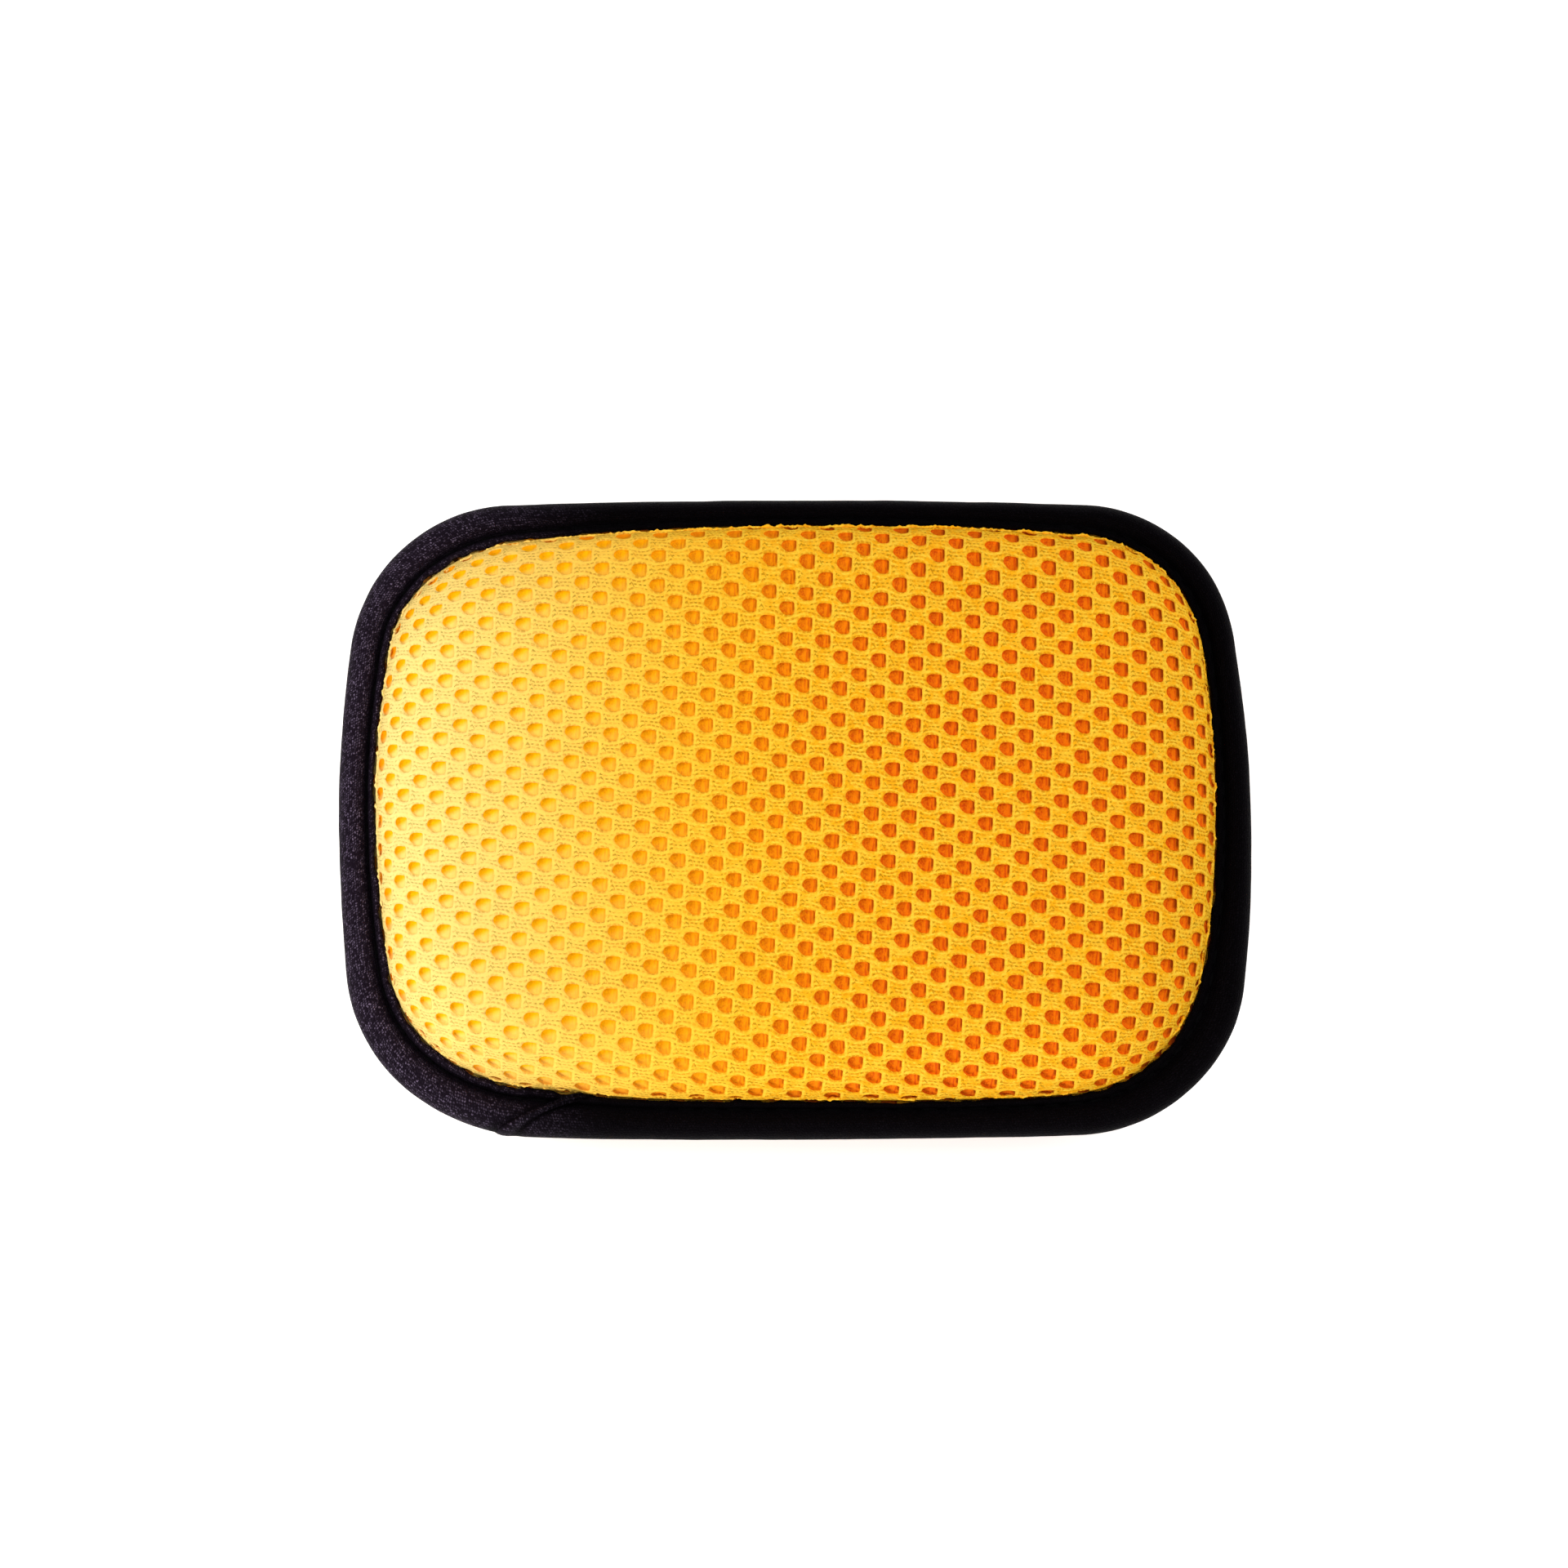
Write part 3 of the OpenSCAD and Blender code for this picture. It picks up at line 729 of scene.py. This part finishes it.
def meshCell(bm):
    # rings from the hole's edge out to the knit, and from the edge down its wall, in lattice units
    size = spacerMesh
    count = size["segments"]
    row, column = Vector(size["rowStep"]).length, Vector(size["columnStep"]).length
    half = (size["holeHalf"][0] / row, size["holeHalf"][1] / column)
    hole, rim = [], []
    quarter = count // 4
    corners = [Vector((0.5, 0, 0)), Vector((0, 0.5, 0)), Vector((-0.5, 0, 0)), Vector((0, -0.5, 0))]
    for k in range(count):
        hole.append(holeCorner(2 * math.pi * k / count, half, size["cornerPowers"]))
        rim.append(corners[k // quarter].lerp(corners[(k // quarter + 1) % 4], k % quarter / quarter))
    circle = bmesh.ops.create_circle(bm, segments=count, radius=1)["verts"]
    circle.sort(key=lambda v: math.atan2(v.co.y, v.co.x) % (2 * math.pi))
    for vert, place in zip(circle, hole):
        vert.co = place + Vector((0, 0, -0.14))
    edges = [e for e in bm.edges]

    def nextRing(fromVerts, fromEdges, places):
        made = bmesh.ops.extrude_edge_only(bm, edges=fromEdges)["geom"]
        newVerts = [g for g in made if isinstance(g, bmesh.types.BMVert)]
        newEdges = [e for e in made if isinstance(e, bmesh.types.BMEdge)
                    and e.verts[0] in newVerts and e.verts[1] in newVerts]
        ordered = [min(newVerts, key=lambda n: (n.co - v.co).length) for v in fromVerts]
        for vert, place in zip(ordered, places):
            vert.co = place
        return ordered, newEdges

    crest = [h.lerp(r, 0.14) + Vector((0, 0, 0.03)) for h, r in zip(hole, rim)]
    middle = [h.lerp(r, 0.55) + Vector((0, 0, 0.07)) for h, r in zip(hole, rim)]
    ring, ringEdges = nextRing(circle, edges, crest)
    ring, ringEdges = nextRing(ring, ringEdges, middle)
    nextRing(ring, ringEdges, rim)
    knitFaces = set(bm.faces)
    share, shift = size["floorShare"], size["floorShift"] / row
    under = [Vector((h.x * 1.05, h.y * 1.04, -0.32)) for h in hole]
    floor = [Vector((h.x * share[0] + shift, h.y * share[1], -size["depth"])) for h in hole]
    ring, ringEdges = nextRing(circle, edges, under)
    ring, ringEdges = nextRing(ring, ringEdges, floor)
    bmesh.ops.edgeloop_fill(bm, edges=ringEdges)
    for face in set(bm.faces) - knitFaces:
        face.material_index = 1
    bmesh.ops.recalc_face_normals(bm, faces=bm.faces)


def latticeOfCells():
    # two cells side by side on the slant, then rows and columns of them
    bm = bmesh.new()
    meshCell(bm)
    copy = bmesh.ops.duplicate(bm, geom=bm.verts[:] + bm.edges[:] + bm.faces[:])
    bmesh.ops.translate(bm, vec=(0.5, 0.5, 0), verts=[g for g in copy["geom"] if isinstance(g, bmesh.types.BMVert)])
    data = bpy.data.meshes.new("cells")
    bm.to_mesh(data)
    bm.free()
    piece = bpy.data.objects.new("cells", data)
    scene.collection.objects.link(piece)
    rows, columns = 28, 25
    for count, offset in ((rows, (1, 0, 0)), (columns, (0, 1, 0))):
        array = piece.modifiers.new("array", "ARRAY")
        array.count = count
        array.use_relative_offset = False
        array.use_constant_offset = True
        array.constant_offset_displace = offset
    made = evaluatedMesh(piece)
    bpy.data.objects.remove(piece)
    made.transform(Matrix.Translation((-(rows // 2), -(columns // 2), 0)))
    return made


def pulled(points):
    x, y = points[:, 0] / meshPull["scale"][0], points[:, 1] / meshPull["scale"][1]
    moved = points.copy()
    for axis, name in enumerate("xy"):
        for term, amount in meshPull[name].items():
            moved[:, axis] += amount * x ** term.count("x") * y ** term.count("y")
    return moved


def overPillow(flat, height, top, crown, rise, side):
    # the flat cloth's points, laid over one face of the pillow
    depths, heights, lengths, slopes = shoulderCurve(top)
    slack = lengths[-1] - (depths[-1] - depths[0])
    inside, out, along = nearestOutline(flat)
    reach = inside + slack - depths[0]
    depth = np.where(reach < 0, depths[0] + reach,
                     np.where(reach < lengths[-1], np.interp(reach, lengths, depths),
                              reach - lengths[-1] + depths[-1]))
    place = flat + out * (inside - depth)[:, None]
    near = np.clip(1 - (depth - depths[0]) / 10, 0, 1)
    shift = depths[0] * (1 - atDistance(showingShare, along)) * near * near * (3 - 2 * near)
    place = place + out * shift[:, None]
    level = np.where(reach < 0, heights[0], np.interp(reach, lengths, heights))
    slope = np.where(reach < 0, 0, np.where(reach < lengths[-1], np.interp(reach, lengths, slopes), 0))
    level = level + crownHeight(place, crown) * np.clip((depth - 12) / 10, 0, 1)
    level = level + side * rise(place) * np.clip((depth - depths[0]) / 8, 0, 1)
    lean = np.arctan(np.minimum(slope, 3.0))
    pressed = 0.35 + 0.65 * np.clip((reach + 0.5) / 5, 0, 1)
    rise3 = height * pressed
    points = np.zeros((len(flat), 3))
    points[:, :2] = place + out * (np.sin(lean) * rise3)[:, None]
    points[:, 2] = seamZ + side * (level + np.cos(lean) * rise3)
    return points, reach, along


# Loose edge strands of the knit lie on the lip of the tape, and wave in and out
edgeStrands = (
    {"in": 6.34, "high": 3.35, "thick": 0.56, "wave": 0.34, "loop": 1.05, "seed": 3.0},
)


def layStrand(bm, strand, side):
    knit = bm.verts.layers.float_vector["knit"]
    edge = bm.verts.layers.float_vector["edge"]
    stations, sides = 1900, 5
    for vert in bmesh.ops.create_grid(bm, x_segments=stations, y_segments=sides, size=1)["verts"]:
        along, turn = (vert.co.x + 1) / 2 * perimeter, (vert.co.y + 1) * math.pi
        bend = math.tau * along / perimeter
        here = Vector((math.cos(bend) * 70, math.sin(bend) * 70, strand["seed"]))
        wave = noise.noise(here * 0.35) + 0.7 * noise.noise(here * 0.9) + 0.5 * noise.noise(here * 2.3)
        loop = math.sin(math.pi * along / strand["loop"] + 3 * noise.noise(here * 0.5))
        lift = noise.noise(here * 0.4 + Vector((0, 0, 9)))
        fat = strand["thick"] / 2 * (0.75 + 0.35 * loop * loop + 0.7 * noise.noise(here * 1.7 + Vector((0, 0, 20))))
        spot, out = stationAt(along)
        depth = strand["in"] * float(atDistance(showingShare, along)) + strand["wave"] * wave
        where = spot - out * (depth + math.cos(turn) * fat)
        z = strand["high"] + 0.35 * lift + math.sin(turn) * fat
        vert.co = (where.x, where.y, seamZ + side * z)
        vert[knit] = (along / 6.2, 0.25 + turn / 60, 0.0)
        vert[edge] = (along, 5.0, 0.0)


def makeCover(name, top, crown, side, rise):
    size = spacerMesh
    data = latticeOfCells()
    lattice = meshCoordinates(data)
    steps = np.array([size["rowStep"], size["columnStep"]])
    flat = lattice[:, :2] @ steps + np.array(size["origin"])
    for k, (x, y) in enumerate(flat):
        shift = noise.noise_vector(Vector((x * 0.22, y * 0.22, 7.0 * side)))
        flat[k] += (shift.x * size["jitter"] * 2, shift.y * size["jitter"] * 2)
    flat = pulled(flat)
    points, reach, along = overPillow(flat, lattice[:, 2], top, crown, rise, side)
    data.vertices.foreach_set("co", points.ravel())
    knit = data.attributes.new("knit", "FLOAT_VECTOR", "POINT")
    knit.data.foreach_set("vector", lattice.ravel())
    edge = data.attributes.new("edge", "FLOAT_VECTOR", "POINT")
    edge.data.foreach_set("vector", np.stack([along, reach, 0 * reach], axis=1).ravel())
    bm = bmesh.new()
    bm.from_mesh(data)
    bm.verts.ensure_lookup_table()
    outside = [bm.verts[int(k)] for k in np.nonzero(reach < -size["hiddenWidth"])[0]]
    bmesh.ops.delete(bm, geom=outside, context="VERTS")
    bmesh.ops.remove_doubles(bm, verts=bm.verts, dist=0.004)
    if side < 0:
        bmesh.ops.reverse_faces(bm, faces=bm.faces)
    before = len(bm.faces)
    for strand in edgeStrands:
        layStrand(bm, strand, side)
    bmesh.ops.remove_doubles(bm, verts=bm.verts, dist=0.004)
    bmesh.ops.recalc_face_normals(bm, faces=bm.faces[:][before:])
    print(name, len(bm.faces) * 2, "triangles")
    piece = finishPiece(name, bm, (yellowMaterial, pileMaterial))
    return piece


frontCover = makeCover("front_knit_cover", pillow["frontTop"], pillow["crown"], 1, padRise(padBefore, padAfter, True))
backCover = makeCover("back_knit_cover", pillow["backTop"], 0.0, -1, lambda points: np.zeros(len(points)))
print("covers made")

# The binding tape: a flat strip folded over the edge, from lip to lip
tape = {
    "band": (2.36, 3.4),     # half width and half height of the puffed band
    "grooveIn": 4.6,
    "grooveZ": 1.95,
    "lipIn": 5.8,
    "lipTop": 3.0,
    "lipFoot": 1.5,
    "thickness": 0.8,
    "stations": 420,
    "stitchPitch": 4.0,
    "pinch": 0.28,
    "puff": 0.14,
    "edgeWave": 0.45,
    "start": 14.0,           # where the strip's ends meet, under the lap
    "lobe": 0.34,            # how far the under end puffs up beside the lap
}


def tapeSection():
    # half of the section, from the rim over the band, down the groove and over the lip
    wide, high = tape["band"]
    band = [(wide * (1 - math.cos(a)), high * math.sin(a) ** 0.9) for a in np.linspace(0, math.radians(142), 13)]
    lip = [(tape["grooveIn"], tape["grooveZ"])]
    middle, radius = (tape["grooveIn"] + 0.15 + tape["lipIn"]) / 2, (tape["lipIn"] - tape["grooveIn"] - 0.15) / 2
    for a in np.linspace(0, math.pi, 7):
        rise = tape["lipTop"] - (tape["grooveZ"] + 0.25)
        lip.append((middle - radius * math.cos(a), tape["grooveZ"] + 0.25 + rise * math.sin(a)))
    lip.append((tape["lipIn"], tape["lipFoot"]))
    return band + lip


def foldedSection():
    half = tapeSection()
    section = [(d, -z) for d, z in reversed(half[1:])] + half
    length = [0.0]
    for a, b in zip(section, section[1:]):
        length.append(length[-1] + math.dist(a, b))
    return section, length


def paintedGrooveShade(depth):
    # painted shade in the sewn groove, from 0 to 1 by how deep in it a point of the section lies
    return math.exp(-((depth - tape["grooveIn"] + 0.1) / 0.55) ** 2)


def placeOnTape(distance, depth, z):
    # the section is stretched to the width that shows here, and swells a little in places
    spot, out = stationAt(distance)
    depth *= float(atDistance(showingShare, distance))
    depth -= float(atDistance(swellOut, distance)) * max(0.0, 1 - depth / 7)
    where = spot - out * depth
    return Vector((where.x, where.y, seamZ + z))


# The over end lies on the strip's start, cut on the slant with a turned hem
lap = {
    "length": 30.0,
    "slant": 14.0,
    "past": 5.3,
    "segments": 56,
    "sideways": 0.12,        # how much of its thickness shows at the rim and the lip
    "places": (0, 0.5, 1.3, 2.2, 3.0, 3.7, 5.0, 18.0, 30.0),
    "heights": (-0.1, 1.1, 1.9, 1.7, 0.9, 0.45, 0.8, 0.45, -0.3),
}


def lapTip(depth):
    # how far along the over end reaches, at a depth of the section
    return lap["slant"] * (depth / tape["lipIn"]) ** 1.5 - lap["past"]


def makeTape():
    section, lengths = foldedSection()
    rows = len(section) - 1
    bm = bmesh.new()
    bmesh.ops.create_grid(bm, x_segments=tape["stations"], y_segments=rows, size=1)
    strip = bm.verts.layers.float_vector.new("strip")
    for vert in bm.verts:
        along, across = (vert.co.x + 1) / 2, (vert.co.y + 1) / 2
        k = round(across * rows)
        depth, z = section[k]
        distance = tape["start"] + along * perimeter
        # painted shadow on the under end, just before the lap's slanted end
        beside = max(0.0, (lapTip(depth) + perimeter - distance) / 1.3)
        shade = 0.9 * math.exp(-beside * beside) if distance < perimeter + lapTip(depth) else 0.0
        vert[strip] = Vector((distance, lengths[k], max(shade, paintedGrooveShade(depth))))
        bend = math.tau * distance / perimeter
        here = Vector((math.cos(bend), math.sin(bend), 0)) * perimeter / math.tau
        wave = noise.noise(here * 0.28) + 0.6 * noise.noise(here * 0.7)
        lobe = math.exp(-((distance - perimeter + 10.5) / 5.5) ** 2)
        if depth > tape["grooveIn"]:
            depth += tape["edgeWave"] * wave * (depth - tape["grooveIn"]) / (tape["lipIn"] - tape["grooveIn"])
        z *= 1 + tape["lobe"] * lobe * (1 if depth < tape["grooveIn"] else 0.5)
        groove = math.exp(-((depth - tape["grooveIn"]) / 0.8) ** 2)
        beat = 0.5 + 0.5 * math.cos(bend * round(perimeter / tape["stitchPitch"]))
        z -= math.copysign(tape["pinch"] * groove * beat, z)
        where = placeOnTape(distance, depth, z)
        puff = noise.noise(where * 0.09) + 0.5 * noise.noise(where * 0.3)
        spot, out = stationAt(distance)
        push = Vector((out.x * (2.0 - depth) * 0.3, out.y * (2.0 - depth) * 0.3, math.copysign(0.7, z) if abs(z) > 1 else 0))
        vert.co = where + push * puff * tape["puff"]
    bmesh.ops.remove_doubles(bm, verts=bm.verts, dist=0.01)
    bmesh.ops.recalc_face_normals(bm, faces=bm.faces)
    return bm


def makeLap(bm):
    section, lengths = foldedSection()
    rows = len(section) - 1
    grid = bmesh.ops.create_grid(bm, x_segments=lap["segments"], y_segments=rows, size=1)["verts"]
    strip = bm.verts.layers.float_vector["strip"]
    for vert in grid:
        along, k = (vert.co.x + 1) / 2, round((vert.co.y + 1) / 2 * rows)
        depth, z = section[k]
        tip = lapTip(depth)
        e = along ** 1.6 * lap["length"]
        distance = tip + e * (1 - (tip + lap["past"]) / lap["length"])
        out = Vector((depth - tape["grooveIn"], z))
        out.normalize()
        rise = float(np.interp(e, lap["places"], lap["heights"])) * (1 - 0.55 * (depth / tape["lipIn"]) ** 2)
        hem = math.exp(-((e - 1.6) / 1.2) ** 2)
        # the hem bridges the sewn groove, and a crease lies behind it, with painted shade in the crease and at the cut
        # end
        fill = hem * math.exp(-((depth - tape["grooveIn"]) / 1.2) ** 2) * 1.1
        behind = math.exp(-((e - 3.8) / 0.6) ** 2)
        edge = math.exp(-(e / 0.5) ** 2)
        place = Vector((depth, z)) + Vector((out.x * lap["sideways"], out.y)) * rise
        place.y += math.copysign(fill, z)
        # the strip's third value is painted shade: behind the hem, at the cut end and in the groove
        vert[strip] = Vector((distance * 1.0, lengths[k] + 31.0,
                              max(behind, edge, paintedGrooveShade(depth) * (1 - hem))))
        vert.co = placeOnTape(distance, place.x, place.y)


def bindingTape():
    bm = makeTape()
    makeLap(bm)
    piece = finishPiece("folded_binding_tape", bm, tapeMaterial)
    solid = piece.modifiers.new("thickness", "SOLIDIFY")
    solid.thickness = tape["thickness"] * mm
    solid.offset = -1
    return piece


tapePiece = bindingTape()
print("tape made")

# The seam's stitches lie in the groove on both faces
stitch = {"length": 2.6, "thick": 0.42, "dip": 0.35, "sides": 6, "rings": 6}


def stitchTube(bm):
    # a closed round length of thread along Z
    before = len(bm.verts)
    circle = bmesh.ops.create_circle(bm, cap_ends=True, segments=stitch["sides"], radius=stitch["thick"] / 2)["verts"]
    bmesh.ops.translate(bm, vec=(0, 0, -stitch["length"] / 2), verts=circle)
    edges = list({e for v in circle for e in v.link_edges})
    swept = bmesh.ops.spin(bm, geom=circle + edges, cent=(0, 0, 0), axis=(0, 0, 1), angle=0,
                           dvec=(0, 0, stitch["length"] / stitch["rings"]), steps=stitch["rings"])
    bmesh.ops.edgeloop_fill(bm, edges=[g for g in swept["geom_last"] if isinstance(g, bmesh.types.BMEdge)])
    return bm.verts[:][before:]


def makeStitches():
    bm = bmesh.new()
    strip = bm.verts.layers.float_vector.new("strip")
    count = math.floor(perimeter / tape["stitchPitch"])
    for side in (1, -1):
        for k in range(count):
            distance = perimeter * (k + 0.5) / count
            verts = stitchTube(bm)
            for vert in verts:
                along = vert.co.z
                share = 2 * along / stitch["length"]
                arch = math.sqrt(max(0.0, 1 - share * share * 0.9))
                z = tape["grooveZ"] - 0.12 + stitch["dip"] * arch - stitch["dip"] * 0.5
                vert[strip] = Vector((along, math.atan2(vert.co.y, vert.co.x), 0))
                vert.co = placeOnTape(distance + along, tape["grooveIn"] + vert.co.x, side * (z + vert.co.y))
    bmesh.ops.recalc_face_normals(bm, faces=bm.faces)
    return finishPiece("seam_stitches", bm, threadMaterial)


stitches = makeStitches()
print("stitches made")

# What rides on what, and which model part each piece stands in for and hides
for piece, node, slot in ((foamPad, "foam_core", "orange_foam"),
                          (frontCover, "front_mesh_cover", "yellow_mesh"),
                          (backCover, "back_mesh_cover", "yellow_mesh"),
                          (tapePiece, "binding_tape", "black_tape"),
                          (stitches, "seam_thread", "black_thread")):
    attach(piece, "root")
    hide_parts(node)

# Camera, straight above and a little to the near side, and soft light from the upper left
view = {
    "target": (-1.9, 5.9, 13.5),
    "elevation": 86.4,
    "distance": 2600.0,
    "frameWidth": 257.6,
    "sensor": 36.0,
}


def addCamera():
    data = bpy.data.cameras.new("camera")
    data.sensor_width = view["sensor"]
    data.lens = view["sensor"] * view["distance"] / view["frameWidth"]
    data.clip_end = 10
    camera = bpy.data.objects.new("camera", data)
    scene.collection.objects.link(camera)
    angle = math.radians(view["elevation"])
    away = Vector((0, -math.cos(angle), math.sin(angle)))
    camera.location = (Vector(view["target"]) + away * view["distance"]) * mm
    camera.rotation_euler = away.to_track_quat("Z", "Y").to_euler()
    scene.camera = camera


lamps = {
    "key": {"place": (-0.24, 0.03, 0.18), "size": 0.14, "power": 0.45},
    "side": {"place": (0.48, 0.22, 0.62), "size": 0.60, "power": 3.9},
    "near": {"place": (-0.14, -0.38, 0.12), "size": 0.24, "power": 1.12},
}
ambient = 0.42


def addLamp(name, place, size, power):
    data = bpy.data.lights.new(name, "AREA")
    data.shape = "SQUARE"
    data.size = size
    data.energy = power
    lamp = bpy.data.objects.new(name, data)
    scene.collection.objects.link(lamp)
    lamp.location = place
    lamp.rotation_euler = (Vector(place) - Vector((0, 0, 0.014))).to_track_quat("Z", "Y").to_euler()


def addWorld():
    world = bpy.data.worlds.new("studio")
    scene.world = world
    world.use_nodes = True
    tree = world.node_tree
    background = tree.nodes["Background"]
    rays = tree.nodes.new("ShaderNodeLightPath")
    strength = calc(tree, "ADD", ambient, calc(tree, "MULTIPLY", rays.outputs["Is Camera Ray"], 1 - ambient))
    tree.links.new(strength, background.inputs["Strength"])
    background.inputs["Color"].default_value = (1, 1, 1, 1)


def addFloor():
    bm = bmesh.new()
    bmesh.ops.create_grid(bm, x_segments=1, y_segments=1, size=3000)
    material, tree, shader = newMaterial("studio_floor")
    shader.inputs["Base Color"].default_value = (0.9, 0.9, 0.9, 1)
    shader.inputs["Roughness"].default_value = 0.9
    shader.inputs["Specular IOR Level"].default_value = 0.1
    rays = tree.nodes.new("ShaderNodeLightPath")
    glow = tree.nodes.new("ShaderNodeEmission")
    tree.links.new(calc(tree, "MULTIPLY", rays.outputs["Is Camera Ray"], 0.5), glow.inputs["Strength"])
    both = tree.nodes.new("ShaderNodeAddShader")
    tree.links.new(shader.outputs[0], both.inputs[0])
    tree.links.new(glow.outputs[0], both.inputs[1])
    tree.links.new(both.outputs[0], tree.nodes["Material Output"].inputs["Surface"])
    floor = finishPiece("studio_floor", bm, material, smooth=False)


addCamera()
for name, lamp in lamps.items():
    addLamp(name, lamp["place"], lamp["size"], lamp["power"])
addWorld()
addFloor()
print("studio made")
